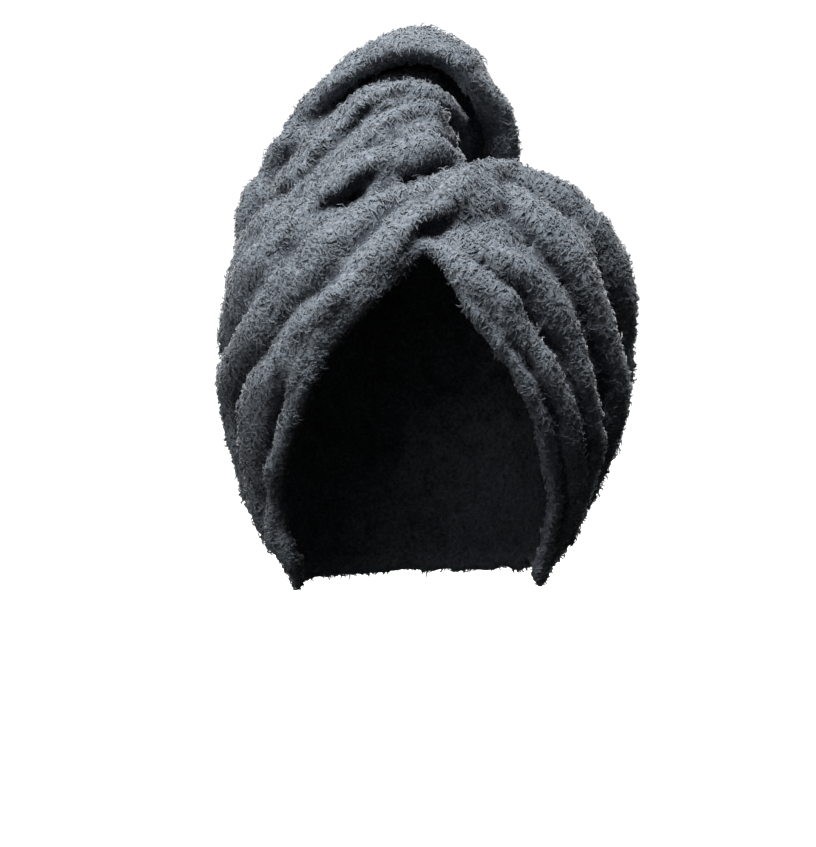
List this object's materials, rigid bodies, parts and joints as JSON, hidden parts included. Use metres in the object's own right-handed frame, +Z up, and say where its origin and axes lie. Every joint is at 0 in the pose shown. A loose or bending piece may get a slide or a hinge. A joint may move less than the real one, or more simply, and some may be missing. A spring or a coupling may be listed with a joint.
{
  "type": "hair turban towel",
  "caption": "Long-pile towelling hair turban in its worn form: an open-faced hood with a wound tail that turns over the crown and buttons at the nape.",
  "frame": {"origin": "inside of the crown, where the top of a head carries the hood", "axes": "+Z up, the face opening looks along -Y, +X is the viewer's right seen from the front"},
  "size_m": [0.1855, 0.2111, 0.2496],
  "materials": {
    "towelling": "matte long-loop pile",
    "button_plastic": "satin"
  },
  "bodies": {
    "root": {"hood": "towelling", "tail": "towelling", "nape_clasp": "button_plastic"}
  },
  "joints": []
}
